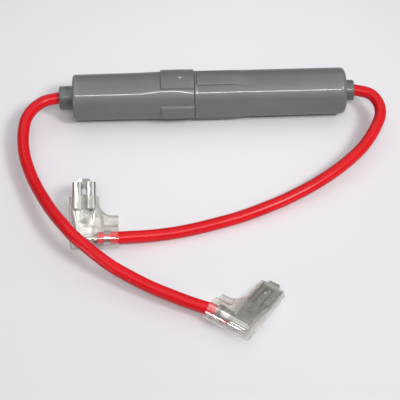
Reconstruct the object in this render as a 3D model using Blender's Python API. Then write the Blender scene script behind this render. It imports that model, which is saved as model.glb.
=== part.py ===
"""Microwave oven high voltage fuse: a snap-together holder with a glass fuse inside, on two leads.

The holder lies along X and rests on its raised pads at z = 0, with its middle over the origin.
Both silicone leads are shown as they lie, each ending in a crimped flag receptacle in a clear boot.
Elevation angles go round the holder from -Y (0 degrees) over the top (90) to the far side (180).
"""

import math

import bmesh
import bpy
from mathutils import Matrix, Vector

# Clearances
FIT = 0.0003
SNUG = 0.0002

# Holder halves
BODY_WALL = 0.0015
LEFT_DRAFT = 0.0002
RIGHT_DRAFT = 0.0001
LEFT_LENGTH = 0.0416
RIGHT_LENGTH = 0.0523
JOINT_X = -0.0046
END_WALL = 0.0045
LEFT_END_ROUND = 0.0008
RIGHT_END_ROUND = 0.0012
LEFT_NIPPLE_RADIUS = 0.00405
LEFT_NIPPLE_LENGTH = 0.0048
RIGHT_NIPPLE_RADIUS = 0.0036
RIGHT_NIPPLE_LENGTH = 0.0030
NIPPLE_CHAMFER = 0.0003
MOUTH_CHAMFER = 0.0004

# Spigot, tongues and latch channels
SPIGOT_WALL = 0.0014
SPIGOT_LENGTH = 0.0140
SPIGOT_END_SPACE = 0.0012
TONGUE_RISE = 0.00085
TONGUE_OVERHANG = 0.0010
BARB_RISE = 0.00045
BARB_LENGTH = 0.0031
TONGUE_ROOT = 0.0008
SLIT_WIDTH = 0.0007
SLIT_START = 0.0030

# Raised pads on the outside
PAD_RISE = 0.0006
PAD_LENGTH = 0.0115
PAD_START = 59.6
PAD_SWEEP = 135.4
BULGE_LENGTH = 0.0182
BULGE_RAMP = 0.0032
BULGE_START = 72.0
BULGE_SWEEP = 65.0
BULGE_SIDE_WALL = 6.0
PAD_EDGE_ROUND = 0.00022
GATE_MARK_RADIUS = 0.0007
GATE_MARK_HEIGHT = 0.00025
GATE_MARK_BACK = 0.0050

# Fuse
FUSE_LENGTH = 0.0400
FUSE_START = -0.0165
FUSE_RADIUS = 0.003175
CAP_WALL = 0.0004
CAP_LENGTH = 0.0065
GLASS_WALL = 0.0007
ELEMENT_WIRE_RADIUS = 0.00015
ELEMENT_SPRING_RADIUS = 0.0010
ELEMENT_SPRING_WIRE = 0.00017
ELEMENT_SPRING_LENGTH = 0.0140
ELEMENT_SPRING_TURNS = 11

# Contact cups and their spring
CUP_WALL = 0.0004
CUP_SPACE = 0.001025
CUP_DEPTH = 0.0070
CUP_SLIT_WIDTH = 0.0006
CUP_SLIT_DEPTH = 0.0045
CUP_SLITS = 4
CUP_SLIT_TURN = 50.0
FLANGE_THICKNESS = 0.0005
TAIL_LENGTH = 0.0070
TAIL_WALL = 0.0004
TOWER_WALL = 0.0010
SPRING_WIRE_RADIUS = 0.00035
SPRING_TURNS = 8

# Leads
LEAD_RADIUS = 0.0020
CONDUCTOR_RADIUS = 0.00075
CONDUCTOR_STRANDS = 7
CONDUCTOR_LAY = 0.012
STRAND_RING_STEP = 0.0013

# Flag receptacle, from the crossing of its centre line and the wire
SHEET = 0.0004
TAB_WIDTH = 0.0063
TAB_THICKNESS = 0.0008
RECEPTACLE_EDGE_RADIUS = 0.0012
ROLL_TIP_RADIUS = 0.0008
ROLL_TIP_INWARD = 0.0012
ROLL_START = 0.0099
ROLL_END = 0.0189
GUIDE_ROOT_WIDTH = 0.0050
GUIDE_TIP_WIDTH = 0.0031
GUIDE_LENGTH = 0.0017
NECK_WIDTH = 0.0056
NECK_RISE = 0.0009
NECK_SHOULDER = 0.0007
NECK_TAPER = 0.0022
NECK_FLANGE_END = 0.0042
WIRE_CRIMP_START = -0.0022
WIRE_CRIMP_LENGTH = 0.0052
CRIMP_SEAM = 8.0
CHANNEL_OPENING = 120.0
INSULATION_CRIMP_START = 0.0063
INSULATION_CRIMP_LENGTH = 0.0021
INSULATION_START = 0.0044

# Spring lance in the receptacle's base, with a dimple that catches the tab's hole
LANCE_START = 0.0087
LANCE_SHOULDER = 0.0140
LANCE_WIDTH = 0.0022
LANCE_SLIT = 0.00035
LANCE_NOSE_WIDTH = 0.0015
LANCE_NOSE_LENGTH = 0.0012
WINDOW_LENGTH = 0.0032
DIMPLE_RADIUS = 0.0006
DIMPLE_DEPTH = 0.00025

# Clear boot, in the receptacle's own frame
BOOT_THICKNESS = 0.0069
BOOT_MOUTH_THICKNESS = 0.0040
BOOT_MOUTH_SHIFT = -0.00025
BOOT_WEB_THICKNESS = 0.0026
BOOT_TAPER_END = 0.0120
BOOT_WALL = 0.0005
BOOT_ARM_HALF = 0.0048
BOOT_WIRE_END_X = 0.0109
BOOT_WIRE_ARM_TOP = 0.0075
BOOT_WEB_START = 0.0024
BOOT_WEB_RAMP = 0.0018
BOOT_INNER_CURVE = 0.0045
BOOT_SIDE_ROUND = 0.0030
BOOT_CORNER = 0.0012
LEFT_BOOT_MOUTH = 0.0186
RIGHT_BOOT_MOUTH = 0.0139

# Where the receptacles lie: the crossing above, the wire's heading and the receptacle's tilt
LEFT_PLACE = (0.00633, -0.09428, 0.0050)
LEFT_HEADING = 145.35
LEFT_TILT = -10.0
RIGHT_PLACE = (-0.04165, -0.05824, 0.0036)
RIGHT_HEADING = 0.0
RIGHT_TILT = 22.6

# Routes of the free leads, in millimetres, from nipple to boot
LEFT_ROUTE = [
    (-55.6, -1.0, 8.7), (-58.0, -2.6, 8.6), (-60.1, -4.8, 8.4), (-61.7, -7.5, 8.1),
    (-62.6, -10.7, 7.8), (-62.9, -17.8, 7.4), (-62.0, -24.9, 7.2), (-60.1, -31.9, 7.3),
    (-57.6, -38.7, 7.7), (-54.7, -45.3, 8.5), (-51.5, -51.7, 9.4), (-48.0, -57.5, 10.2),
    (-44.5, -62.5, 10.4), (-40.6, -66.4, 10.0), (-36.7, -69.8, 9.0), (-32.7, -72.8, 7.9),
    (-28.4, -75.4, 7.0), (-24.1, -77.9, 6.3), (-19.7, -80.3, 5.8), (-15.1, -82.5, 5.4),
    (-10.6, -84.7, 5.2), (-6.2, -86.6, 5.0),
]
RIGHT_ROUTE = [
    (55.7, -1.4, 8.6), (57.8, -3.6, 8.4), (59.0, -6.8, 8.1), (59.0, -10.5, 7.8),
    (57.9, -14.0, 7.5), (54.7, -20.0, 6.9), (50.9, -25.2, 6.3), (46.5, -29.5, 5.7),
    (42.0, -33.2, 5.1), (37.3, -36.5, 4.5), (32.5, -39.5, 4.0), (27.6, -42.1, 3.5),
    (22.6, -44.6, 3.1), (17.6, -46.7, 2.8), (12.6, -48.7, 2.5), (7.6, -50.4, 2.2),
    (2.5, -51.9, 2.1), (-2.6, -53.3, 2.0), (-7.7, -54.6, 2.0), (-12.8, -55.7, 2.1),
    (-17.9, -56.6, 2.4), (-23.0, -57.4, 2.9), (-27.5, -57.9, 3.4),
]
ROUTE_UNIT = 0.001
LEAD_POINT_STEP = 4 * LEAD_RADIUS
EXIT_STRAIGHT = 0.0006

# Facets
ROUND_SIDES = 48
SMALL_SIDES = 24
CONTACT_SPRING_STEPS = 12
ELEMENT_SPRING_STEPS = 9
BOOT_LEVELS = 8
SHADE_ANGLE = math.radians(35)

# Sizes that follow
CAVITY_RADIUS = FUSE_RADIUS + FIT + CUP_WALL + CUP_SPACE
BORE_RADIUS = LEAD_RADIUS + FIT
SPIGOT_RADIUS = CAVITY_RADIUS + SPIGOT_WALL
MOUTH_RADIUS = SPIGOT_RADIUS + FIT
BODY_RADIUS = MOUTH_RADIUS + BODY_WALL
AXIS_Z = BODY_RADIUS + PAD_RISE
MOUTH_DEPTH = SPIGOT_LENGTH + SPIGOT_END_SPACE
TONGUE_RADIUS = SPIGOT_RADIUS + TONGUE_RISE
BARB_RADIUS = TONGUE_RADIUS + BARB_RISE
TONGUE_LENGTH = SPIGOT_LENGTH + TONGUE_OVERHANG
CHANNEL_RADIUS = TONGUE_RADIUS + FIT
POCKET_RADIUS = BARB_RADIUS + FIT
CUP_INNER = FUSE_RADIUS + FIT
CUP_OUTER = CUP_INNER + CUP_WALL
FLANGE_RADIUS = CAVITY_RADIUS - FIT
TAIL_INNER = CONDUCTOR_RADIUS + FIT
FUSE_END = FUSE_START + FUSE_LENGTH
LEFT_CUP_X = FUSE_START - FIT
RIGHT_CUP_X = FUSE_END + FIT
LEFT_SEAT_X = LEFT_CUP_X - FLANGE_THICKNESS
RIGHT_SEAT_X = RIGHT_CUP_X + FLANGE_THICKNESS
LEFT_WIRE_X = LEFT_SEAT_X - TAIL_LENGTH - FIT
RIGHT_WIRE_X = RIGHT_SEAT_X + TAIL_LENGTH + FIT
WIRE_CRIMP_INNER = CONDUCTOR_RADIUS + FIT
WIRE_CRIMP_OUTER = WIRE_CRIMP_INNER + SHEET
INSULATION_CRIMP_INNER = LEAD_RADIUS + FIT
INSULATION_CRIMP_OUTER = INSULATION_CRIMP_INNER + SHEET
BASE_Z = -WIRE_CRIMP_OUTER
RECEPTACLE_HALF = TAB_WIDTH / 2 + FIT + SHEET
BOOT_HALF = BOOT_THICKNESS / 2


def clear_scene():
    for old in list(bpy.data.objects):
        bpy.data.objects.remove(old, do_unlink=True)


def material(name, colour, roughness, metallic=0.0, transmission=0.0):
    made = bpy.data.materials.new(name)
    made.use_nodes = True
    shader = made.node_tree.nodes["Principled BSDF"]
    shader.inputs["Base Color"].default_value = (*colour, 1.0)
    shader.inputs["Roughness"].default_value = roughness
    shader.inputs["Metallic"].default_value = metallic
    shader.inputs["Transmission Weight"].default_value = transmission
    made.diffuse_color = (*colour, 1.0)
    return made


def new_object(name, bm, finish=None):
    """The bmesh as an object with outward faces, shaded smooth apart from its sharp edges."""
    bmesh.ops.recalc_face_normals(bm, faces=bm.faces[:])
    mesh = bpy.data.meshes.new(name)
    bm.to_mesh(mesh)
    bm.free()
    mesh.shade_smooth()
    mesh.set_sharp_from_angle(angle=SHADE_ANGLE)
    made = bpy.data.objects.new(name, mesh)
    bpy.context.scene.collection.objects.link(made)
    if finish:
        mesh.materials.append(finish)
    return made


def helper(made):
    made.hide_render = True
    made.display_type = "WIRE"
    return made


def boolean(target, other, operation):
    step = target.modifiers.new(other.name, "BOOLEAN")
    step.object = helper(other)
    step.operation = operation
    step.solver = "EXACT"


def rounded(made, width, segments=2, angle=50.0):
    """Rounds the sharp edges of a piece."""
    step = made.modifiers.new("edge_round", "BEVEL")
    step.width = width
    step.segments = segments
    step.limit_method = "ANGLE"
    step.angle_limit = math.radians(angle)
    return made


def arc(centre, radius, start, end, steps):
    """Points of an arc, with angles in degrees."""
    turns = [math.radians(start + (end - start) * i / steps) for i in range(steps + 1)]
    return [(centre[0] + radius * math.cos(a), centre[1] + radius * math.sin(a)) for a in turns]


def on_holder(x, radius, elevation):
    """A point round the holder's axis, x along it from the joint."""
    angle = math.radians(elevation)
    return Vector((JOINT_X + x, -radius * math.cos(angle), AXIS_Z + radius * math.sin(angle)))


def turned(name, outline, finish=None, sides=ROUND_SIDES):
    """A closed outline of (x, radius) points turned once about the holder's axis."""
    bm = bmesh.new()
    ring = [bm.verts.new(on_holder(x, radius, 0.0)) for x, radius in outline]
    edges = [bm.edges.new((a, b)) for a, b in zip(ring, ring[1:] + ring[:1])]
    bmesh.ops.spin(
        bm, geom=ring + edges, cent=(0.0, 0.0, AXIS_Z), axis=(-1.0, 0.0, 0.0),
        angle=math.tau, steps=sides, use_merge=True,
    )
    return new_object(name, bm, finish)


def sector(name, outline, start, sweep, degrees_a_step=6.0):
    """A closed outline of (x, radius) points turned part of the way round the holder's axis."""
    bm = bmesh.new()
    face = bm.faces.new([bm.verts.new(on_holder(x, radius, start)) for x, radius in outline])
    bmesh.ops.spin(
        bm, geom=[face], cent=(0.0, 0.0, AXIS_Z), axis=(-1.0, 0.0, 0.0),
        angle=math.radians(sweep), steps=max(2, round(sweep / degrees_a_step)),
    )
    return new_object(name, bm)


def prism(name, outline, low, high, finish=None):
    """A closed outline of (x, y) points extruded from z = low to z = high."""
    bm = bmesh.new()
    face = bm.faces.new([bm.verts.new((x, y, low)) for x, y in outline])
    top = bmesh.ops.extrude_face_region(bm, geom=[face])
    moved = [v for v in top["geom"] if isinstance(v, bmesh.types.BMVert)]
    bmesh.ops.translate(bm, vec=(0.0, 0.0, high - low), verts=moved)
    return new_object(name, bm, finish)


def holder_half_left(finish):
    """The smaller half: nipple, tower that the cup seats on, spigot with its two snap tongues."""
    end = -LEFT_LENGTH
    far = BODY_RADIUS - LEFT_DRAFT
    floor = end + END_WALL
    tip = end - LEFT_NIPPLE_LENGTH
    tower = BORE_RADIUS + TOWER_WALL
    seat = LEFT_SEAT_X - FIT
    outline = [
        (tip, BORE_RADIUS),
        (tip, LEFT_NIPPLE_RADIUS - NIPPLE_CHAMFER),
        (tip + NIPPLE_CHAMFER, LEFT_NIPPLE_RADIUS),
        (end, LEFT_NIPPLE_RADIUS),
        *[(end + LEFT_END_ROUND + x, far - LEFT_END_ROUND + r)
          for x, r in arc((0.0, 0.0), LEFT_END_ROUND, 180, 90, 4)],
        (0.0, BODY_RADIUS),
        (0.0, SPIGOT_RADIUS),
        (SPIGOT_LENGTH - SPIGOT_WALL / 3, SPIGOT_RADIUS),
        (SPIGOT_LENGTH, SPIGOT_RADIUS - SPIGOT_WALL / 3),
        (SPIGOT_LENGTH, CAVITY_RADIUS),
        (floor, CAVITY_RADIUS),
        (floor, tower),
        (seat, tower),
        (seat, BORE_RADIUS),
    ]
    half = turned("holder_half_left", outline, finish)
    root = SPIGOT_RADIUS - TONGUE_ROOT / 2
    tongue = [
        (-TONGUE_ROOT, root),
        (TONGUE_LENGTH, root),
        (TONGUE_LENGTH, TONGUE_RADIUS - BARB_RISE),
        (TONGUE_LENGTH - BARB_LENGTH, BARB_RADIUS),
        (TONGUE_LENGTH - BARB_LENGTH, TONGUE_RADIUS),
        (-TONGUE_ROOT, TONGUE_RADIUS),
    ]
    pad = [
        (-PAD_LENGTH, BODY_RADIUS - PAD_RISE),
        (-FIT, BODY_RADIUS - PAD_RISE),
        (-FIT, BODY_RADIUS + PAD_RISE),
        (-PAD_LENGTH, BODY_RADIUS + PAD_RISE),
    ]
    side_gap = math.degrees(FIT / TONGUE_RADIUS)
    slit = math.degrees(SLIT_WIDTH / SPIGOT_RADIUS)
    tongue_start = BULGE_START + BULGE_SIDE_WALL + side_gap
    tongue_sweep = BULGE_SWEEP - 2 * BULGE_SIDE_WALL - 2 * side_gap
    slit_outline = [
        (SLIT_START, CAVITY_RADIUS - TONGUE_ROOT),
        (TONGUE_LENGTH + TONGUE_ROOT, CAVITY_RADIUS - TONGUE_ROOT),
        (TONGUE_LENGTH + TONGUE_ROOT, BARB_RADIUS),
        (SLIT_START, BARB_RADIUS),
    ]
    for turn in (0.0, 180.0):
        face = sector("left_pad", pad, PAD_START + turn, PAD_SWEEP)
        boolean(half, rounded(face, PAD_EDGE_ROUND), "UNION")
        boolean(half, sector("tongue", tongue, tongue_start + turn, tongue_sweep), "UNION")
        for side in (tongue_start - slit, tongue_start + tongue_sweep):
            boolean(half, sector("slit", slit_outline, side + turn, slit), "DIFFERENCE")
    boolean(half, gate_mark(), "UNION")
    return half


def gate_mark():
    """The small round mark that the mould's gate leaves on top of the left half."""
    bm = bmesh.new()
    bmesh.ops.create_cone(
        bm, cap_ends=True, segments=12, radius1=GATE_MARK_RADIUS,
        radius2=GATE_MARK_RADIUS * 0.8, depth=2 * GATE_MARK_HEIGHT + PAD_RISE,
    )
    place = on_holder(-GATE_MARK_BACK, BODY_RADIUS + PAD_RISE / 2, 90.0)
    bmesh.ops.translate(bm, vec=place, verts=bm.verts[:])
    return new_object("gate_mark", bm)


def holder_half_right(finish):
    """The longer half: mouth with two latch channels under outside bulges, cavity and nipple."""
    end = RIGHT_LENGTH
    far = BODY_RADIUS - RIGHT_DRAFT
    tip = end + RIGHT_NIPPLE_LENGTH
    outline = [
        (FIT, MOUTH_RADIUS),
        (FIT, BODY_RADIUS - MOUTH_CHAMFER),
        (FIT + MOUTH_CHAMFER, BODY_RADIUS),
        *[(end - RIGHT_END_ROUND + x, far - RIGHT_END_ROUND + r)
          for x, r in arc((0.0, 0.0), RIGHT_END_ROUND, 90, 0, 5)],
        (end, RIGHT_NIPPLE_RADIUS),
        (tip - NIPPLE_CHAMFER, RIGHT_NIPPLE_RADIUS),
        (tip, RIGHT_NIPPLE_RADIUS - NIPPLE_CHAMFER),
        (tip, BORE_RADIUS),
        (end - END_WALL, BORE_RADIUS),
        (end - END_WALL, CAVITY_RADIUS),
        (MOUTH_DEPTH, CAVITY_RADIUS),
        (MOUTH_DEPTH, MOUTH_RADIUS),
    ]
    half = turned("holder_half_right", outline, finish)
    bulge = [
        (FIT + MOUTH_CHAMFER, BODY_RADIUS - PAD_RISE / 2),
        (BULGE_LENGTH, BODY_RADIUS - PAD_RISE / 2),
        (BULGE_LENGTH - BULGE_RAMP, BODY_RADIUS + PAD_RISE),
        (FIT + MOUTH_CHAMFER, BODY_RADIUS + PAD_RISE),
    ]
    shoulder = TONGUE_LENGTH - BARB_LENGTH - FIT
    back = TONGUE_LENGTH + SPIGOT_END_SPACE
    inside = SPIGOT_RADIUS - TONGUE_ROOT
    channel = [
        (-MOUTH_CHAMFER, inside),
        (back, inside),
        (back, POCKET_RADIUS),
        (shoulder, POCKET_RADIUS),
        (shoulder, CHANNEL_RADIUS),
        (-MOUTH_CHAMFER, CHANNEL_RADIUS),
    ]
    for turn in (0.0, 180.0):
        raised = sector("bulge", bulge, BULGE_START + turn, BULGE_SWEEP)
        boolean(half, rounded(raised, PAD_EDGE_ROUND), "UNION")
        start = BULGE_START + BULGE_SIDE_WALL + turn
        sweep = BULGE_SWEEP - 2 * BULGE_SIDE_WALL
        boolean(half, sector("channel", channel, start, sweep), "DIFFERENCE")
    return half


def fuse(metal, glass, wire):
    """The 6.3 x 40 mm glass fuse: tube, two end caps, spring and fine element wire."""
    bore = FUSE_RADIUS - CAP_WALL
    tube = bore - SNUG
    hole = tube - GLASS_WALL
    glass_start = FUSE_START + CAP_WALL + SNUG
    glass_end = FUSE_END - CAP_WALL - SNUG
    turned(
        "fuse_glass_tube",
        [(glass_start, hole), (glass_start, tube), (glass_end, tube), (glass_end, hole)],
        glass, SMALL_SIDES,
    )
    for name, end, way in (("fuse_cap_left", FUSE_START, 1), ("fuse_cap_right", FUSE_END, -1)):
        bm = bmesh.new()
        outline = [(0.0, 0.0), (0.0, FUSE_RADIUS - SNUG), (SNUG, FUSE_RADIUS), (CAP_LENGTH, FUSE_RADIUS),
                   (CAP_LENGTH, bore), (CAP_WALL, bore), (CAP_WALL, 0.0)]
        line = [bm.verts.new(on_holder(end + way * x, r, 0.0)) for x, r in outline]
        edges = [bm.edges.new(pair) for pair in zip(line, line[1:])]
        bmesh.ops.spin(
            bm, geom=line + edges, cent=(0.0, 0.0, AXIS_Z), axis=(-1.0, 0.0, 0.0),
            angle=math.tau, steps=SMALL_SIDES, use_merge=True,
        )
        bmesh.ops.remove_doubles(bm, verts=bm.verts[:], dist=1e-6)
        new_object(name, bm, metal)
    spring_start = FUSE_START + CAP_WALL + FIT
    helix(
        "fuse_element_spring", spring_start, ELEMENT_SPRING_LENGTH, ELEMENT_SPRING_RADIUS,
        ELEMENT_SPRING_WIRE, ELEMENT_SPRING_TURNS, ELEMENT_SPRING_STEPS, wire,
    )
    wire_start = spring_start + ELEMENT_SPRING_LENGTH + FIT
    wire_end = FUSE_END - CAP_WALL - FIT
    rod(
        "fuse_element_wire", on_holder(wire_start, 0.0, 0.0), on_holder(wire_end, 0.0, 0.0),
        ELEMENT_WIRE_RADIUS, 8, wire,
    )


def rod(name, start, end, radius, sides, finish):
    """A plain round bar between two points."""
    bm = bmesh.new()
    bmesh.ops.create_cone(
        bm, cap_ends=True, segments=sides, radius1=radius, radius2=radius,
        depth=(end - start).length,
    )
    turn = (end - start).to_track_quat("Z", "Y").to_matrix().to_4x4()
    bmesh.ops.transform(bm, matrix=Matrix.Translation((start + end) / 2) @ turn, verts=bm.verts[:])
    return new_object(name, bm, finish)


def helix(name, start, length, radius, wire, turns, steps, finish):
    """A coil spring about the holder's axis, with a closed turn at each end, as a bevelled curve."""
    curve = bpy.data.curves.new(name, "CURVE")
    curve.dimensions = "3D"
    count = turns * steps
    spline = curve.splines.new("POLY")
    spline.points.add(count)
    solid = 2.2 * wire
    open_turns = turns - 2
    for i, point in enumerate(spline.points):
        done = i / steps
        opened = min(max(done - 1.0, 0.0), open_turns) / open_turns
        closed = min(done, 1.0) + max(done - turns + 1.0, 0.0)
        x = start + wire + closed * solid + opened * (length - 2 * wire - 2 * solid)
        point.co = (*on_holder(x, radius, 360.0 * done), 1.0)
    curve.bevel_depth = wire
    curve.bevel_resolution = 1
    curve.use_fill_caps = True
    curve.materials.append(finish)
    made = bpy.data.objects.new(name, curve)
    bpy.context.scene.collection.objects.link(made)
    return made


def contact_cups(metal):
    """The drawn cups that grip the fuse caps, each with a flange and a tail crimped on its lead."""
    for name, bottom, way in (
        ("contact_cup_left", LEFT_CUP_X, -1), ("contact_cup_right", RIGHT_CUP_X, 1),
    ):
        tail = TAIL_INNER + TAIL_WALL
        outline = [
            (-CUP_DEPTH, CUP_INNER),
            (-CUP_DEPTH, CUP_OUTER),
            (-FLANGE_THICKNESS, CUP_OUTER),
            (-FLANGE_THICKNESS / 2, FLANGE_RADIUS),
            (FLANGE_THICKNESS, FLANGE_RADIUS),
            (FLANGE_THICKNESS, tail),
            (FLANGE_THICKNESS + TAIL_LENGTH, tail),
            (FLANGE_THICKNESS + TAIL_LENGTH, TAIL_INNER),
            (0.0, TAIL_INNER),
            (0.0, CUP_INNER),
        ]
        cup = turned(name, [(bottom + way * x, r) for x, r in outline], metal, SMALL_SIDES)
        inner = CUP_INNER - CUP_WALL
        outer = CUP_OUTER + CUP_WALL
        mouth = bottom - way * (CUP_DEPTH + FIT)
        root = bottom - way * (CUP_DEPTH - CUP_SLIT_DEPTH)
        slit = [(mouth, inner), (root, inner), (root, outer), (mouth, outer)]
        sweep = math.degrees(CUP_SLIT_WIDTH / CUP_INNER)
        for i in range(CUP_SLITS):
            turn = CUP_SLIT_TURN + 360.0 * i / CUP_SLITS
            boolean(cup, sector("cup_slit", slit, turn, sweep), "DIFFERENCE")


def conductor(name, start, end, finish):
    """A stripped end: seven strands laid up with a slow twist."""
    bm = bmesh.new()
    along = end - start
    around = CONDUCTOR_STRANDS * 4
    rings = max(3, round(along.length / STRAND_RING_STEP))
    turn = along.to_track_quat("Z", "Y").to_matrix()
    groove = CONDUCTOR_RADIUS * 0.16
    loops = []
    for i in range(rings + 1):
        far = along.length * i / rings
        loop = []
        for j in range(around):
            angle = math.tau * j / around
            lobe = abs(math.cos(CONDUCTOR_STRANDS * angle / 2))
            radius = CONDUCTOR_RADIUS - groove * (1.0 - lobe)
            twist = angle + math.tau * far / CONDUCTOR_LAY
            at = Vector((radius * math.cos(twist), radius * math.sin(twist), far))
            loop.append(bm.verts.new(start + turn @ at))
        loops.append(loop)
    for low, high in zip(loops, loops[1:]):
        for j in range(around):
            k = (j + 1) % around
            bm.faces.new((low[j], low[k], high[k], high[j]))
    bm.faces.new(loops[0])
    bm.faces.new(loops[-1])
    return new_object(name, bm, finish)


def through(points, step):
    """Evenly spaced points along the smooth curve that passes through the given points."""
    fine = []
    ends = [2 * points[0] - points[1], *points, 2 * points[-1] - points[-2]]
    for before, a, b, after in zip(ends, ends[1:], ends[2:], ends[3:]):
        for i in range(16):
            t = i / 16
            fine.append(0.5 * (
                2 * a + (b - before) * t + (2 * before - 5 * a + 4 * b - after) * t * t
                + (3 * a - before - 3 * b + after) * t ** 3
            ))
    fine.append(points[-1])
    lengths = [(b - a).length for a, b in zip(fine, fine[1:])]
    count = max(1, round(sum(lengths) / step))
    spacing = sum(lengths) / count
    made, walked = [fine[0]], 0.0
    for a, b, length in zip(fine, fine[1:], lengths):
        while len(made) < count and walked + length >= spacing * len(made):
            made.append(a.lerp(b, (spacing * len(made) - walked) / length))
        walked += length
    return made + [fine[-1]]


def lead(name, inner, mouth, route, entry, end, finish):
    """One insulated lead: straight in the holder, free along its route, straight in its boot."""
    out = (mouth - inner).normalized()
    free = through([mouth + EXIT_STRAIGHT * out, *route, entry], LEAD_POINT_STEP)
    points = [inner, *free, end]
    curve = bpy.data.curves.new(name, "CURVE")
    curve.dimensions = "3D"
    spline = curve.splines.new("POLY")
    spline.points.add(len(points) - 1)
    for point, at in zip(spline.points, points):
        point.co = (*at, 1.0)
    curve.bevel_depth = LEAD_RADIUS
    curve.bevel_resolution = 3
    curve.use_fill_caps = True
    curve.materials.append(finish)
    made = bpy.data.objects.new(name, curve)
    bpy.context.scene.collection.objects.link(made)
    return made


def receptacle_section():
    """The curled cross-section, as (x, z) points: base, edge bends and tips that hold the tab."""
    bend = RECEPTACLE_EDGE_RADIUS
    inner = bend - SHEET
    edge = RECEPTACLE_HALF - bend
    tip_x = edge - ROLL_TIP_INWARD
    top = BASE_Z + 2 * bend
    tip_z = BASE_Z + SHEET + TAB_THICKNESS
    curl = (tip_x, top - ROLL_TIP_RADIUS)
    outer = [(edge + x, BASE_Z + bend + z) for x, z in arc((0.0, 0.0), bend, -90, 90, 8)]
    outer += arc(curl, ROLL_TIP_RADIUS, 90, 180, 4)
    outer.append((tip_x - ROLL_TIP_RADIUS, tip_z))
    back = [(tip_x - ROLL_TIP_RADIUS + SHEET, tip_z)]
    back += arc(curl, ROLL_TIP_RADIUS - SHEET, 180, 90, 4)
    back += [(edge + x, BASE_Z + bend + z) for x, z in arc((0.0, 0.0), inner, 90, -90, 8)]
    right = outer + back
    split = len(outer)
    left = [(-x, z) for x, z in right]
    return right[:split] + right[split:] + left[split:][::-1] + left[:split][::-1]


def receptacle_parts():
    """The receptacle's folded sheet as a list of overlapping solids, in its own frame."""
    section = receptacle_section()
    body = prism("receptacle_body", section, -ROLL_END, -ROLL_START)
    body.data.transform(Matrix.Rotation(math.radians(90), 4, "X"))
    half_neck = NECK_WIDTH / 2
    half_body = RECEPTACLE_HALF - RECEPTACLE_EDGE_RADIUS
    right = [
        (half_neck, -WIRE_CRIMP_OUTER / 2),
        (half_neck, ROLL_START - NECK_TAPER),
        (half_body, ROLL_START + NECK_SHOULDER),
        (half_body, ROLL_END),
        (GUIDE_ROOT_WIDTH / 2, ROLL_END),
        (GUIDE_TIP_WIDTH / 2, ROLL_END + GUIDE_LENGTH),
    ]
    base = right + [(-x, y) for x, y in reversed(right)]
    plate = prism("receptacle_base", base, BASE_Z, BASE_Z + SHEET)
    return [body, plate, lance_dimple(), *neck_flanges(), *crimp_barrels()]


def lance_dimple():
    """The bump on the lance's nose that catches the hole in the tab."""
    bm = bmesh.new()
    bmesh.ops.create_cone(
        bm, cap_ends=True, segments=12, radius1=DIMPLE_RADIUS, radius2=DIMPLE_RADIUS / 2,
        depth=SHEET / 2 + DIMPLE_DEPTH,
    )
    middle = BASE_Z + SHEET + (DIMPLE_DEPTH - SHEET / 2) / 2
    bmesh.ops.translate(bm, vec=(0.0, LANCE_SHOULDER + LANCE_NOSE_WIDTH / 4, middle), verts=bm.verts[:])
    return new_object("lance_dimple", bm)


def neck_flanges():
    """The folded edges that taper from the rolls down to the flat neck."""
    made = []
    neck = NECK_WIDTH / 2
    foot = BASE_Z + SHEET / 4
    rows = (
        (ROLL_START + SHEET, RECEPTACLE_HALF, RECEPTACLE_HALF - SHEET, RECEPTACLE_EDGE_RADIUS),
        (ROLL_START - NECK_TAPER, neck + SHEET, neck, NECK_RISE),
        (ROLL_START - NECK_FLANGE_END, neck, neck - SHEET, SHEET * 0.75),
    )
    for way in (-1, 1):
        bm = bmesh.new()
        loops = []
        for y, far, near, rise in rows:
            top = BASE_Z + rise
            corners = ((near - SHEET, foot), (near, foot), (far, top), (near, top))
            loops.append([bm.verts.new((way * x, y, z)) for x, z in corners])
        for low, high in zip(loops, loops[1:]):
            for j in range(4):
                k = (j + 1) % 4
                bm.faces.new((low[j], low[k], high[k], high[j]))
        bm.faces.new(loops[0])
        bm.faces.new(loops[-1])
        made.append(new_object("neck_flange", bm))
    return made


def crimp_barrels():
    """Wire crimp and insulation crimp, open at the top seam, and the channel between them."""
    wire_end = WIRE_CRIMP_START + WIRE_CRIMP_LENGTH
    insulation_end = INSULATION_CRIMP_START + INSULATION_CRIMP_LENGTH
    widened = INSULATION_START - FIT
    wire, insulation = WIRE_CRIMP_INNER, INSULATION_CRIMP_INNER
    barrels = (
        ((WIRE_CRIMP_START, wire), (wire_end, wire), CRIMP_SEAM),
        ((INSULATION_CRIMP_START, insulation), (insulation_end, insulation), CRIMP_SEAM),
        ((wire_end - SHEET, wire), (widened, insulation), CHANNEL_OPENING),
        ((widened - SHEET / 2, insulation), (INSULATION_CRIMP_START + SHEET, insulation), CHANNEL_OPENING),
    )
    made = []
    for (start, first), (end, last), gap in barrels:
        bm = bmesh.new()
        corners = ((start, first), (start, first + SHEET), (end, last + SHEET), (end, last))
        angle = math.radians(90.0 + gap)
        ring = [bm.verts.new((x, r * math.cos(angle), r * math.sin(angle))) for x, r in corners]
        face = bm.faces.new(ring)
        sweep = 360.0 - 2 * gap
        bmesh.ops.spin(
            bm, geom=[face], cent=(0.0, 0.0, 0.0), axis=(1.0, 0.0, 0.0),
            angle=math.radians(sweep), steps=round(sweep / 15.0),
        )
        made.append(new_object("crimp", bm))
    return made


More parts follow.
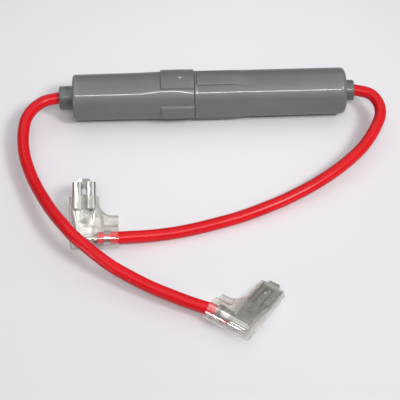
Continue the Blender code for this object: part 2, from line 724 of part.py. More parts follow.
def lance_cuts():
    """The slits beside the spring lance, and the window that runs round its nose."""
    half = LANCE_WIDTH / 2
    wide = half + LANCE_SLIT
    nose = LANCE_NOSE_WIDTH / 2
    nose_arc = LANCE_SHOULDER + LANCE_NOSE_LENGTH - nose
    window_end = LANCE_SHOULDER + WINDOW_LENGTH
    low, high = BASE_Z - FIT, BASE_Z + SHEET + FIT
    made = []
    for way in (-1, 1):
        slit_end = LANCE_SHOULDER + LANCE_SLIT / 2
        side = [(half, LANCE_START), (wide, LANCE_START), (wide, slit_end), (half, slit_end)]
        made.append(prism("lance_side", [(way * x, y) for x, y in side], low, high))
    window = [
        (-wide, LANCE_SHOULDER),
        (-nose, LANCE_SHOULDER),
        *arc((0.0, nose_arc), nose, 180, 0, 6),
        (nose, LANCE_SHOULDER),
        (wide, LANCE_SHOULDER),
        (wide, window_end),
        (-wide, window_end),
    ]
    made.append(prism("lance_window", window, low, high))
    return made


def ease(value, start, end):
    """0 before start, 1 after end, and a smooth rise between."""
    t = min(max((value - start) / (end - start), 0.0), 1.0)
    return t * t * (3.0 - 2.0 * t)


def boot_half_at(x, y):
    """Half the boot's thickness: full round the wire, thinner at its web and towards its mouth."""
    towards_mouth = ease(y, 0.0, BOOT_TAPER_END)
    half = BOOT_HALF + (BOOT_MOUTH_THICKNESS / 2 - BOOT_HALF) * towards_mouth
    web = ease(y, BOOT_WEB_START, BOOT_WEB_START + BOOT_WEB_RAMP)
    web *= ease(x, BOOT_ARM_HALF, BOOT_ARM_HALF + BOOT_WEB_RAMP)
    return half + (BOOT_WEB_THICKNESS / 2 - half) * web


def pouch(name, inset, reach, mouth):
    """The boot's L-shaped outer form, moved in by inset, its two open ends pushed out by reach."""
    half = BOOT_HALF - inset
    side_round = BOOT_SIDE_ROUND - inset
    left = -BOOT_ARM_HALF
    bottom = -BOOT_HALF
    end = BOOT_WIRE_END_X + reach
    curve_centre = (BOOT_ARM_HALF + BOOT_INNER_CURVE, BOOT_WIRE_ARM_TOP + BOOT_INNER_CURVE)
    levels = [math.radians(-90 + 180 * (i + 0.5) / BOOT_LEVELS) for i in range(BOOT_LEVELS)]
    bm = bmesh.new()
    loops = []
    for level in levels:
        z = half * math.sin(level)
        away = inset + side_round * (1.0 - math.cos(level))
        corner = max(BOOT_CORNER - away, BOOT_CORNER * 0.1)
        outline = [(left + away, mouth + reach)]
        outline += arc((left + away + corner, bottom + away + corner), corner, 180, 270, 3)
        outline += [(end, bottom + away), (end, BOOT_WIRE_ARM_TOP - away)]
        outline += arc(curve_centre, BOOT_INNER_CURVE + away, 270, 180, 6)
        outline += [(BOOT_ARM_HALF - away, mouth + reach)]
        loops.append([bm.verts.new((x, y, z)) for x, y in outline])
    for low, high in zip(loops, loops[1:]):
        for j in range(len(low)):
            k = (j + 1) % len(low)
            bm.faces.new((low[j], low[k], high[k], high[j]))
    bm.faces.new(loops[0])
    bm.faces.new(loops[-1])
    web_end = BOOT_WEB_START + BOOT_WEB_RAMP
    rows = (BOOT_WEB_START, web_end, (web_end + BOOT_TAPER_END) / 2, BOOT_TAPER_END)
    cuts = [((0.0, y, 0.0), (0.0, 1.0, 0.0)) for y in rows]
    cuts += [((BOOT_ARM_HALF + x, 0.0, 0.0), (1.0, 0.0, 0.0)) for x in (0.0, BOOT_WEB_RAMP)]
    for at, across in cuts:
        everything = bm.verts[:] + bm.edges[:] + bm.faces[:]
        bmesh.ops.bisect_plane(bm, geom=everything, dist=1e-7, plane_co=at, plane_no=across)
    for vert in bm.verts:
        shift = BOOT_MOUTH_SHIFT * ease(vert.co.y, 0.0, BOOT_TAPER_END)
        vert.co.z = vert.co.z * (boot_half_at(vert.co.x, vert.co.y) - inset) / half + shift
    bmesh.ops.triangulate(bm, faces=bm.faces[:])
    return new_object(name, bm)


def boot_shape(name, mouth, finish):
    """A thin-walled clear boot, open at its mouth and where the wire comes in."""
    shell = pouch(name, 0.0, 0.0, mouth)
    shell.data.materials.append(finish)
    boolean(shell, pouch("boot_hollow", BOOT_WALL, FIT, mouth), "DIFFERENCE")
    return shell


def place_of(spot, heading, tilt, flipped):
    """Frame of a receptacle: X along its wire, Y out of its mouth, Z towards its rolls."""
    angle = math.radians(heading)
    x = Vector((math.cos(angle), math.sin(angle), 0.0))
    side = -1.0 if flipped else 1.0
    level = side * Vector((-math.sin(angle), math.cos(angle), 0.0))
    lift = math.radians(tilt)
    y = math.cos(lift) * level + math.sin(lift) * Vector((0.0, 0.0, 1.0))
    z = x.cross(y)
    turn = Matrix((x, y, z)).transposed().to_4x4()
    return Matrix.Translation(spot) @ turn


def lead_end(side, place, mouth, metal, clear, copper):
    """The receptacle, the boot and the stripped wire end at the far end of one lead."""
    solids = receptacle_parts()
    receptacle = solids[0]
    receptacle.name = f"{side}_receptacle"
    receptacle.data.materials.append(metal)
    for solid in solids[1:]:
        boolean(receptacle, solid, "UNION")
        solid.parent = receptacle
    for cut in lance_cuts():
        boolean(receptacle, cut, "DIFFERENCE")
        cut.parent = receptacle
    receptacle.matrix_world = place
    boot = boot_shape(f"{side}_boot", mouth, clear)
    boot.modifiers[0].object.parent = boot
    boot.matrix_world = place
    conductor(
        f"{side}_wire_end_outer", place @ Vector((WIRE_CRIMP_START + FIT, 0.0, 0.0)),
        place @ Vector((INSULATION_START - FIT, 0.0, 0.0)), copper,
    )


def build():
    clear_scene()
    grey = material("grey_nylon", (0.19, 0.20, 0.19), 0.45)
    tin = material("tin_plate", (0.75, 0.74, 0.70), 0.22, metallic=1.0)
    brass = material("nickel_brass", (0.72, 0.66, 0.50), 0.3, metallic=1.0)
    copper = material("tinned_copper", (0.78, 0.60, 0.45), 0.35, metallic=1.0)
    steel = material("spring_steel", (0.55, 0.56, 0.57), 0.3, metallic=1.0)
    glass = material("fuse_glass", (0.9, 0.93, 0.92), 0.05, transmission=1.0)
    clear = material("clear_pvc", (0.88, 0.88, 0.85), 0.12, transmission=0.9)
    red = material("red_silicone", (0.72, 0.015, 0.02), 0.4)
    holder_half_left(grey)
    holder_half_right(grey)
    fuse(brass, glass, steel)
    contact_cups(brass)
    spring_start = RIGHT_SEAT_X + FIT
    spring_room = RIGHT_LENGTH - END_WALL - FIT - spring_start
    helix(
        "contact_spring", spring_start, spring_room, CUP_OUTER, SPRING_WIRE_RADIUS,
        SPRING_TURNS, CONTACT_SPRING_STEPS, steel,
    )
    left_place = place_of(LEFT_PLACE, LEFT_HEADING, LEFT_TILT, True)
    right_place = place_of(RIGHT_PLACE, RIGHT_HEADING, RIGHT_TILT, False)
    left_tip = -LEFT_LENGTH - LEFT_NIPPLE_LENGTH
    right_tip = RIGHT_LENGTH + RIGHT_NIPPLE_LENGTH
    ends = (
        ("left", left_place, LEFT_BOOT_MOUTH, LEFT_WIRE_X, left_tip, LEFT_ROUTE, LEFT_SEAT_X, 1),
        ("right", right_place, RIGHT_BOOT_MOUTH, RIGHT_WIRE_X, right_tip, RIGHT_ROUTE, RIGHT_SEAT_X, -1),
    )
    for side, place, boot_mouth, inner, tip, route, seat, way in ends:
        lead(
            f"{side}_lead", on_holder(inner, 0.0, 0.0), on_holder(tip, 0.0, 0.0),
            [Vector(point) * ROUTE_UNIT for point in route],
            place @ Vector((BOOT_WIRE_END_X, 0.0, 0.0)),
            place @ Vector((INSULATION_START, 0.0, 0.0)), red,
        )
        conductor(
            f"{side}_wire_end_inner", on_holder(inner + way * FIT, 0.0, 0.0),
            on_holder(seat, 0.0, 0.0), copper,
        )
        lead_end(side, place, boot_mouth, tin, clear, copper)


build()
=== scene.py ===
"""Looks of the microwave oven high voltage fuse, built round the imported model."""

import math

import bmesh
import bpy
from mathutils import Matrix, Quaternion, Vector


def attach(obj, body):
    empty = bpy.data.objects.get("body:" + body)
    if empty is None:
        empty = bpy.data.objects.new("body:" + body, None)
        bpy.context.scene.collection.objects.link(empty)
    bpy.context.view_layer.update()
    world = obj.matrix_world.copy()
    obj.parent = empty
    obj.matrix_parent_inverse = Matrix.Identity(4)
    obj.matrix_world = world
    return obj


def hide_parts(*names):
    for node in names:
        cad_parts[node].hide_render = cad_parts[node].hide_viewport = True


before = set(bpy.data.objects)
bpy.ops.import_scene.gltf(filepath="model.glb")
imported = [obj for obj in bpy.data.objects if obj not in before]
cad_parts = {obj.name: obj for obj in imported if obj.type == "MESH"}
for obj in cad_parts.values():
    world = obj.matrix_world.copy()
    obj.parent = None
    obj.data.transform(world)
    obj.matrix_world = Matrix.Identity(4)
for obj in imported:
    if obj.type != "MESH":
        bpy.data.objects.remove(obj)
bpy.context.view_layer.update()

# Camera, in metres
CAMERA_AT = (-0.01440, -0.31218, 0.32404)
CAMERA_LOOKS_AT = (-0.00405, -0.04048, 0.0)
CAMERA_LENS = 114.93
SENSOR_WIDTH = 36.0

# Lamps: place, target, width and height, turn in degrees, and power
LIGHTS = {
    "key": ((0.50, -0.50, 0.80), (0.0, -0.04, 0.0), (0.22, 0.22), 0.0, 5.2),
    "strip": ((0.02, -0.50, 0.65), (0.02, 0.0, 0.0087), (0.40, 0.030), -9.0, 1.8),
    "window": ((-0.25, 0.85, 0.28), (0.0, -0.08, 0.0), (0.20, 0.22), 0.0, 0.28),
}

# Sky, as (place, level) marks: DOME from the horizon up, SIDES from the left to the right
DOME = ((0.0, 0.02), (0.45, 0.28), (1.0, 0.97))
SIDES = ((0.0, 0.35), (0.5, 1.0), (1.0, 1.40))
# What mirrors see instead: CEILING from the left to the right, WALLS from the horizon up
CEILING = (
    (0.0, 1.2), (0.33, 1.2), (0.37, 2.4), (0.43, 2.4), (0.475, 0.42), (0.55, 0.42), (0.60, 1.2),
)
WALLS = ((0.0, 0.02), (0.10, 0.08), (0.25, 0.16), (0.62, 0.25), (0.80, 1.0))
# A small bright patch in it, low on the left: from the left, from the front, and up
GLARE_ACROSS = ((0.0, 0.0), (0.035, 0.0), (0.04, 1.0), (0.14, 1.0), (0.15, 0.0))
GLARE_ALONG = ((0.0, 0.0), (0.135, 0.0), (0.14, 1.0), (0.37, 1.0), (0.38, 0.0))
GLARE_UP = ((0.0, 0.0), (0.02, 0.0), (0.03, 22.0), (0.11, 22.0), (0.13, 0.0))

# Table: a painted pool of light by nearness to its brightest place, and how pale mirrors see it
TABLE_HALF = 1.5
TABLE_CENTRE = (0.0, 0.03, 0.0)
TABLE_REACH = 0.25
TABLE_PAINTED_LIGHT = ((0.0, 0.72), (0.55, 0.855), (0.62, 0.89), (0.77, 0.955), (1.0, 1.0))
TABLE_MIRRORED = 0.50

# Colours, each from its darker to its paler places
TABLE_COLOURS = ((0.775, 0.77, 0.80), (0.80, 0.795, 0.825))
NYLON_COLOURS = ((0.125, 0.132, 0.131), (0.140, 0.147, 0.145))
# The gate mark's paler colours are a painted highlight on it
GATE_HIGHLIGHT_COLOURS = ((0.40, 0.41, 0.40), (0.47, 0.48, 0.47))
SILICONE_COLOURS = ((0.59, 0.004, 0.009), (0.66, 0.007, 0.014))
TIN_COLOURS = ((0.76, 0.76, 0.74), (0.88, 0.88, 0.86))
COPPER_COLOURS = ((0.62, 0.46, 0.36), (0.78, 0.66, 0.56))
BRASS_COLOURS = ((0.66, 0.60, 0.46), (0.76, 0.70, 0.55))
STEEL_COLOURS = ((0.50, 0.51, 0.52), (0.62, 0.63, 0.64))
VINYL_TINT = (0.85, 0.835, 0.81, 1.0)
VINYL_SHADOW = (0.85, 0.84, 0.82, 1.0)
GLASS_TINT = (0.93, 0.96, 0.95, 1.0)

# Shading: the part of a noise that is spread over two colours, the tin's place in its noise,
# the painted shade in metal by how open its folds are, and the painted shade along the holder
# that darkens its nipples
NOISE_MIDDLE = (0.3, 0.7)
TIN_SHIFT = (0.0013, 0.0, 0.0)
FOLD_REACH = 0.0020
FOLD_SAMPLES = 8
FOLD_PAINTED_SHADE = ((0.0, 0.10), (0.45, 0.30), (0.75, 0.80), (0.95, 1.0))
BODY_MARKS = (0.1, 0.9)
NIPPLE_PAINTED_SHADE = ((0.0, 0.62), (0.096, 0.62), (0.101, 1.0), (0.899, 1.0), (0.904, 0.70))

# Holder, in metres and degrees, x from the joint
FIT = 0.0003
BODY_RADIUS = 0.0081
LEFT_DRAFT = 0.0002
RIGHT_DRAFT = 0.0001
LEFT_LENGTH = 0.0416
RIGHT_LENGTH = 0.0523
JOINT_X = -0.0046
JOINT_GAP = 0.0001
END_WALL = 0.0045
LEFT_END_ROUND = 0.0008
RIGHT_END_ROUND = 0.0017
CAVITY_RADIUS = 0.0049
LEFT_NIPPLE_RADIUS = 0.00405
LEFT_NIPPLE_LENGTH = 0.0048
RIGHT_NIPPLE_RADIUS = 0.0036
RIGHT_NIPPLE_LENGTH = 0.0030
SPIGOT_WALL = 0.0014
SPIGOT_LENGTH = 0.0140
SPIGOT_SPARE = 0.0012
EDGE_ROUND = 0.00025
NIPPLE_ROUND = EDGE_ROUND * 1.6
CORNER_EASE = 0.00005
STEP_WIDTH = 0.00022
RIM_RISE = 0.00012
RIM_LENGTH = 0.0011

# Its raised zones, each of which comes again half a turn round. An edge is half its width, the
# drop of the shoulder inside it and the shoulder's width. A fall ends one of the two early: which
# one, by its turn, and how far past its start it is still full and is gone.
PAD_RISE = 0.0006
PAD_LENGTH = 0.0115
PAD_START = 59.6
PAD_SWEEP = 135.4
PAD_EDGE = (2.4, 0.0, 1.0)
PAD_FALL = (180.0, 98.0, 84.0)
BULGE_LENGTH = 0.0182
BULGE_RAMP = 0.0032
BULGE_START = 67.0
BULGE_SWEEP = 70.0
BULGE_EDGE = (1.1, 0.165, 2.2)
BULGE_FALL = (0.0, 45.0, 56.0)
SWELL_RISE = 0.00012
SWELL_SWEEP = 7.0
SWELL_OVERLAP = 1.0
SWELL_MARKS = (-0.0190, -0.0125, -0.0040, -0.0015)
GATE_MARK_BACK = 0.0048
GATE_MARK_TURN = 88.0
GATE_MARK_SIZE = (0.00085, 0.0005, 0.00035)
GATE_MARK_HEIGHT = 0.00018

# Leads, in metres
LEAD_RADIUS = 0.0020
LEAD_STEP = 0.0016
EXIT_STRAIGHT = 0.0006
LEFT_INNER_X = -0.0292
RIGHT_INNER_X = 0.0270
LEFT_LEAD_LENGTH = 0.152
RIGHT_LEAD_LENGTH = 0.153
LEFT_ROUTE = [
    (-0.0556, -0.0010, 0.0087), (-0.0580, -0.0026, 0.0086), (-0.0601, -0.0048, 0.0084),
    (-0.0617, -0.0075, 0.0081), (-0.0626, -0.0107, 0.0078), (-0.0629, -0.0178, 0.0074),
    (-0.0620, -0.0249, 0.0072), (-0.0601, -0.0319, 0.0073), (-0.0576, -0.0387, 0.0077),
    (-0.0547, -0.0453, 0.0085), (-0.0515, -0.0517, 0.0094), (-0.0480, -0.0575, 0.0102),
    (-0.0445, -0.0625, 0.0104), (-0.0406, -0.0664, 0.0100), (-0.0367, -0.0698, 0.0090),
    (-0.0327, -0.0728, 0.0079), (-0.0284, -0.0754, 0.0070), (-0.0241, -0.0779, 0.0063),
    (-0.0197, -0.0803, 0.0058), (-0.0151, -0.0825, 0.0054), (-0.0106, -0.0847, 0.0052),
    (-0.0062, -0.0866, 0.0050),
]
RIGHT_ROUTE = [
    (0.0557, -0.0014, 0.0086), (0.0578, -0.0036, 0.0084), (0.0590, -0.0068, 0.0081),
    (0.0590, -0.0105, 0.0078), (0.0579, -0.0140, 0.0075), (0.0547, -0.0200, 0.0069),
    (0.0509, -0.0252, 0.0063), (0.0465, -0.0295, 0.0057), (0.0420, -0.0332, 0.0051),
    (0.0373, -0.0365, 0.0045), (0.0325, -0.0395, 0.0040), (0.0276, -0.0421, 0.0035),
    (0.0226, -0.0446, 0.0031), (0.0176, -0.0467, 0.0028), (0.0126, -0.0487, 0.0025),
    (0.0076, -0.0504, 0.0022), (0.0025, -0.0519, 0.0021), (-0.0026, -0.0533, 0.0020),
    (-0.0077, -0.0546, 0.0020), (-0.0128, -0.0557, 0.0021), (-0.0179, -0.0566, 0.0024),
    (-0.0230, -0.0574, 0.0029), (-0.0275, -0.0579, 0.0034),
]

# Receptacles, in metres and degrees
SHEET = 0.0004
TAB_WIDTH = 0.0063
TAB_THICKNESS = 0.0008
CONDUCTOR_RADIUS = 0.00075
EDGE_BEND = 0.0012
TIP_BEND = 0.0008
TIP_INWARD = 0.0012
ROLL_START = 0.0099
ROLL_END = 0.0189
GUIDE_ROOT_WIDTH = 0.0050
GUIDE_TIP_WIDTH = 0.0031
GUIDE_LENGTH = 0.0017
NECK_WIDTH = 0.0056
NECK_RISE = 0.0009
NECK_SHOULDER = 0.0007
NECK_TAPER = 0.0022
NECK_FLANGE_END = 0.0042
NECK_FLANGE_END_RISE = SHEET * 0.75
WIRE_CRIMP_START = -0.0022
WIRE_CRIMP_LENGTH = 0.0052
CRIMP_SEAM = 8.0
CRIMP_FACET = 8.0
CHANNEL_OPENING = 120.0
INSULATION_CRIMP_START = 0.0063
INSULATION_CRIMP_LENGTH = 0.0021
INSULATION_START = 0.0044
LANCE_START = 0.0087
LANCE_SHOULDER = 0.0140
LANCE_WIDTH = 0.0022
LANCE_SLIT = 0.00035
LANCE_NOSE_WIDTH = 0.0015
LANCE_NOSE_LENGTH = 0.0012
WINDOW_LENGTH = 0.0032
DIMPLE_RADIUS = 0.0006
DIMPLE_DEPTH = 0.00025
DENT_RADIUS = 0.00075
LEFT_PLACE = (0.00633, -0.09428, 0.0050)
LEFT_HEADING = 145.35
LEFT_TILT = -10.0
RIGHT_PLACE = (-0.04165, -0.05824, 0.0036)
RIGHT_HEADING = 0.0
RIGHT_TILT = 22.6

# Boots, in metres
BOOT_THICKNESS = 0.0069
BOOT_MOUTH_THICKNESS = 0.0040
BOOT_MOUTH_SHIFT = -0.00025
BOOT_WEB_THICKNESS = 0.0026
BOOT_TAPER_END = 0.0120
BOOT_WALL = 0.0005
BOOT_ARM_HALF = 0.0048
BOOT_WIRE_END_X = 0.0109
BOOT_WIRE_ARM_TOP = 0.0075
BOOT_WEB_START = 0.0024
BOOT_WEB_RAMP = 0.0018
BOOT_INNER_CURVE = 0.0045
BOOT_SIDE_ROUND = 0.0030
BOOT_CORNER = 0.0012
BOOT_LEAST_CORNER = BOOT_CORNER * 0.1
LEFT_BOOT_MOUTH = 0.0186
RIGHT_BOOT_MOUTH = 0.0139

# How finely the meshes are made: counts, metres along the holder and degrees round it
STATION_STEP = 0.0020
NIPPLE_STEP = 0.001
NEAR_MARK = (-0.9, -0.6, -0.3, -0.1, 0.1, 0.3, 0.6, 0.9)
MARK_CLEARANCE = 1.5
TURN_STEP = 3.0
NEAR_EDGE = (0.2, 0.5, 0.8, 1.1, 1.5, 2.0, 2.5, 3.0, 3.6)
EDGE_CLEARANCE = 3.9
CORNER_STEPS = 4
LEFT_END_STEPS = 8
RIGHT_END_STEPS = 10
ROUTE_STEPS = 16
BEND_STEPS = 20
TIP_STEPS = 8
NOSE_STEPS = 16
BOOT_LEVELS = 26
BOOT_ROWS = 20
BOOT_WEB_ROWS = 4
BOOT_CORNER_STEPS = 5
BOOT_CURVE_STEPS = 16
TINY = 1e-7

# Angles over which an edge stays sharp, in degrees
PIECE_EDGES = 35.0
SHELL_EDGES = 40.0
SHEET_EDGES = 30.0

# Sizes that follow
AXIS_Z = BODY_RADIUS + PAD_RISE
BORE_RADIUS = LEAD_RADIUS + FIT
SPIGOT_RADIUS = CAVITY_RADIUS + SPIGOT_WALL
MOUTH_RADIUS = SPIGOT_RADIUS + FIT
LEFT_MOUTH_X = JOINT_X - LEFT_LENGTH - LEFT_NIPPLE_LENGTH
RIGHT_MOUTH_X = JOINT_X + RIGHT_LENGTH + RIGHT_NIPPLE_LENGTH
PAD_ZONE = (PAD_START, PAD_SWEEP, PAD_EDGE, PAD_FALL)
BULGE_ZONE = (BULGE_START, BULGE_SWEEP, BULGE_EDGE, BULGE_FALL)
WIRE_CRIMP_INNER = CONDUCTOR_RADIUS + FIT
WIRE_CRIMP_OUTER = WIRE_CRIMP_INNER + SHEET
INSULATION_CRIMP_INNER = LEAD_RADIUS + FIT
RECEPTACLE_HALF = TAB_WIDTH / 2 + FIT + SHEET
BASE_Z = -WIRE_CRIMP_OUTER
BOOT_HALF = BOOT_THICKNESS / 2


# Helpers for nodes
def new_material(name):
    made = bpy.data.materials.new(name)
    made.use_nodes = True
    return made, made.node_tree, made.node_tree.nodes["Principled BSDF"]


def constants(shader, values):
    for socket, value in values.items():
        shader.inputs[socket].default_value = value


def axes(tree, kind):
    """X, Y and Z of one kind of texture coordinates."""
    coordinates = tree.nodes.new("ShaderNodeTexCoord")
    split = tree.nodes.new("ShaderNodeSeparateXYZ")
    tree.links.new(coordinates.outputs[kind], split.inputs["Vector"])
    return split.outputs


def mapped(tree, location, scale=(1.0, 1.0, 1.0)):
    """Object coordinates, scaled and then moved."""
    coordinates = tree.nodes.new("ShaderNodeTexCoord")
    moved = tree.nodes.new("ShaderNodeMapping")
    moved.inputs["Location"].default_value = location
    moved.inputs["Scale"].default_value = scale
    tree.links.new(coordinates.outputs["Object"], moved.inputs["Vector"])
    return moved.outputs["Vector"]


def scaled(tree, value, start, end, low=0.0, high=1.0):
    """The value's start to end spread over low to high."""
    made = tree.nodes.new("ShaderNodeMapRange")
    made.clamp = False
    constants(made, {"From Min": start, "From Max": end, "To Min": low, "To Max": high})
    tree.links.new(value, made.inputs["Value"])
    return made.outputs["Result"]


def noise(tree, scale, detail=3.0, shift=(0.0, 0.0, 0.0)):
    made = tree.nodes.new("ShaderNodeTexNoise")
    constants(made, {"Scale": scale, "Detail": detail})
    tree.links.new(mapped(tree, shift), made.inputs["Vector"])
    return made.outputs["Fac"]


def stops(tree, value, marks):
    """A colour ramp with a mark at each stop: its position, and its level or colour."""
    made = tree.nodes.new("ShaderNodeValToRGB")
    elements = made.color_ramp.elements
    for i, (position, level) in enumerate(marks):
        element = elements[i] if i < 2 else elements.new(position)
        element.position = position
        element.color = (*level, 1.0) if isinstance(level, tuple) else (level, level, level, 1.0)
    tree.links.new(value, made.inputs["Fac"])
    return made.outputs["Color"]


def spread(tree, value, low, high):
    """The middle of a noise spread over two colours or two levels."""
    return stops(tree, value, tuple(zip(NOISE_MIDDLE, (low, high))))


def blended(tree, kind, first, second, share=None):
    """Two colours multiplied, added, or mixed by a share."""
    made = tree.nodes.new("ShaderNodeMixRGB")
    made.blend_type = kind
    made.inputs["Fac"].default_value = 1.0
    tree.links.new(first, made.inputs["Color1"])
    tree.links.new(second, made.inputs["Color2"])
    if share is not None:
        tree.links.new(share, made.inputs["Fac"])
    return made.outputs["Color"]


def roughened(tree, shader, low, high, scale, detail=3.0):
    """Grain in the roughness, from low to high. Gives the grain back."""
    grain = noise(tree, scale, detail)
    tree.links.new(spread(tree, grain, low, high), shader.inputs["Roughness"])
    return grain


def bump(tree, shader, height, strength, distance):
    made = tree.nodes.new("ShaderNodeBump")
    constants(made, {"Strength": strength, "Distance": distance})
    tree.links.new(height, made.inputs["Height"])
    tree.links.new(made.outputs["Normal"], shader.inputs["Normal"])


# Materials
def holder_plastic(name, colours):
    """Moulded nylon with a smooth skin, and painted shade that darkens the nipples."""
    made, tree, shader = new_material(name)
    colour = spread(tree, noise(tree, scale=90.0, detail=4.0), *colours)
    along = scaled(
        tree, axes(tree, "Object")["X"], JOINT_X - LEFT_LENGTH, JOINT_X + RIGHT_LENGTH, *BODY_MARKS,
    )
    # Painted shade: the nipples are made darker than the body by their place along the holder
    shade = stops(tree, along, NIPPLE_PAINTED_SHADE)
    tree.links.new(blended(tree, "MULTIPLY", colour, shade), shader.inputs["Base Color"])
    grain = roughened(tree, shader, low=0.42, high=0.54, scale=2600.0, detail=2.0)
    bump(tree, shader, grain, strength=0.12, distance=0.00002)
    constants(shader, {"Coat Weight": 0.55, "Coat Roughness": 0.07})
    return made


def red_silicone():
    made, tree, shader = new_material("red_silicone")
    colour = spread(tree, noise(tree, scale=140.0, detail=4.0), *SILICONE_COLOURS)
    tree.links.new(colour, shader.inputs["Base Color"])
    grain = roughened(tree, shader, low=0.21, high=0.29, scale=1800.0, detail=2.0)
    bump(tree, shader, grain, strength=0.2, distance=0.00003)
    constants(shader, {"Specular IOR Level": 0.26})
    return made


def metal(
    name, colours, roughness, scale=700.0, waves=0.00010, detail=3.0, shift=(0.0, 0.0, 0.0),
):
    """Metal with soft waves in it, and painted shade inside its folds."""
    made, tree, shader = new_material(name)
    cloud = noise(tree, scale / 3, detail, shift)
    colour = spread(tree, cloud, *colours)
    # Painted shade: ambient occlusion darkens the colour inside folds, corners and between the
    # rolls
    folds = tree.nodes.new("ShaderNodeAmbientOcclusion")
    folds.only_local = True
    folds.samples = FOLD_SAMPLES
    folds.inputs["Distance"].default_value = FOLD_REACH
    shade = stops(tree, folds.outputs["AO"], FOLD_PAINTED_SHADE)
    tree.links.new(blended(tree, "MULTIPLY", colour, shade), shader.inputs["Base Color"])
    roughened(tree, shader, *roughness, scale)
    bump(tree, shader, cloud, strength=0.9, distance=waves)
    constants(shader, {"Metallic": 1.0})
    return made


def clear_vinyl():
    """Soft clear vinyl with a bright skin, which lets most of the light through to the table."""
    made, tree, shader = new_material("clear_vinyl")
    grain = roughened(tree, shader, low=0.02, high=0.06, scale=300.0)
    bump(tree, shader, grain, strength=0.2, distance=0.00012)
    constants(shader, {
        "Base Color": VINYL_TINT, "Transmission Weight": 0.97, "IOR": 1.42,
        "Coat Weight": 1.0, "Coat IOR": 1.7, "Coat Roughness": 0.03,
    })
    light = tree.nodes.new("ShaderNodeLightPath")
    clear = tree.nodes.new("ShaderNodeBsdfTransparent")
    clear.inputs["Color"].default_value = VINYL_SHADOW
    both = tree.nodes.new("ShaderNodeMixShader")
    tree.links.new(light.outputs["Is Shadow Ray"], both.inputs["Fac"])
    tree.links.new(shader.outputs["BSDF"], both.inputs[1])
    tree.links.new(clear.outputs["BSDF"], both.inputs[2])
    tree.links.new(both.outputs["Shader"], tree.nodes["Material Output"].inputs["Surface"])
    return made


def glass():
    made, tree, shader = new_material("fuse_glass")
    roughened(tree, shader, low=0.01, high=0.04, scale=300.0)
    constants(shader, {"Base Color": GLASS_TINT, "Transmission Weight": 1.0})
    return made


# Helpers for shapes
def soften(mesh, sharp_over):
    """Smooth shading, but for edges sharper than an angle in degrees."""
    mesh.shade_smooth()
    mesh.set_sharp_from_angle(angle=math.radians(sharp_over))


def new_piece(name, bm, finish, sharp_over=PIECE_EDGES):
    bmesh.ops.recalc_face_normals(bm, faces=bm.faces[:])
    mesh = bpy.data.meshes.new(name)
    bm.to_mesh(mesh)
    bm.free()
    soften(mesh, sharp_over)
    made = bpy.data.objects.new(name, mesh)
    bpy.context.scene.collection.objects.link(made)
    mesh.materials.append(finish)
    return made


def boolean(target, other, operation):
    """Joins another object to the target or cuts it out of it, and removes the other object."""
    step = target.modifiers.new(operation.lower(), "BOOLEAN")
    step.object = other
    step.operation = operation
    step.solver = "EXACT"
    apply_modifiers(target)
    bpy.data.objects.remove(other, do_unlink=True)


def apply_modifiers(target):
    bpy.context.view_layer.update()
    graph = bpy.context.evaluated_depsgraph_get()
    mesh = bpy.data.meshes.new_from_object(target.evaluated_get(graph))
    old = target.data
    target.modifiers.clear()
    target.data = mesh
    bpy.data.meshes.remove(old)


def prism(name, outline, low, high, finish):
    bm = bmesh.new()
    face = bm.faces.new([bm.verts.new((x, y, low)) for x, y in outline])
    top = bmesh.ops.extrude_face_region(bm, geom=[face])
    moved = [v for v in top["geom"] if isinstance(v, bmesh.types.BMVert)]
    bmesh.ops.translate(bm, vec=(0.0, 0.0, high - low), verts=moved)
    return new_piece(name, bm, finish)


def cone(name, middle, low_radius, high_radius, height, finish):
    bm = bmesh.new()
    bmesh.ops.create_cone(
        bm, cap_ends=True, segments=24, radius1=low_radius, radius2=high_radius, depth=height,
    )
    bmesh.ops.translate(bm, vec=middle, verts=bm.verts[:])
    return new_piece(name, bm, finish)


def ball(name, middle, radius, finish):
    bm = bmesh.new()
    bmesh.ops.create_icosphere(bm, subdivisions=4, radius=radius)
    bmesh.ops.translate(bm, vec=middle, verts=bm.verts[:])
    return new_piece(name, bm, finish)


def skin(bm, loops):
    """Faces from each loop of points to the next, and over the two end loops."""
    for low, high in zip(loops, loops[1:]):
        for j in range(len(low)):
            k = (j + 1) % len(low)
            bm.faces.new((low[j], low[k], high[k], high[j]))
    bm.faces.new(loops[0])
    bm.faces.new(loops[-1])


def smooth_step(value, start, end):
    t = min(max((value - start) / (end - start), 0.0), 1.0)
    return t * t * (3.0 - 2.0 * t)


def arc(centre, radius, start, end, steps):
    turns = [math.radians(start + (end - start) * i / steps) for i in range(steps + 1)]
    return [(centre[0] + radius * math.cos(a), centre[1] + radius * math.sin(a)) for a in turns]


# Holder
def on_holder(x, radius, elevation):
    angle = math.radians(elevation)
    return Vector((JOINT_X + x, -radius * math.cos(angle), AXIS_Z + radius * math.sin(angle)))


def stations(start, end, marks, step=STATION_STEP):
    """Places between start and end, close together round each mark."""
    count = max(1, round(abs(end - start) / step))
    found = {round(start + (end - start) * i / count, 7) for i in range(count + 1)}
    for mark in marks:
        clear = STEP_WIDTH * MARK_CLEARANCE
        found = {x for x in found if abs(x - mark) > clear or x in (start, end)}
        found |= {round(mark + STEP_WIDTH * f, 7) for f in NEAR_MARK}
    low, high = min(start, end), max(start, end)
    inside = sorted(x for x in found if low + TINY < x < high - TINY)
    return inside if end > start else inside[::-1]


def turn_between(angle, other):
    """Degrees from the other angle to this one, from -180 to 180."""
    return (angle - other + 180.0) % 360.0 - 180.0


def turns_round(start, sweep):
    """Elevations round the holder, close together at both edges of a zone and its twin."""
    edges = [(start + turn + offset) % 360.0 for turn in (0.0, 180.0) for offset in (0.0, sweep)]
    even = [TURN_STEP * i for i in range(round(360.0 / TURN_STEP))]
    made = [a for a in even if all(abs(turn_between(a, e)) > EDGE_CLEARANCE for e in edges)]
    made += [(e + way * f) % 360.0 for e in edges for way in (-1, 1) for f in NEAR_EDGE]
    return sorted(made)


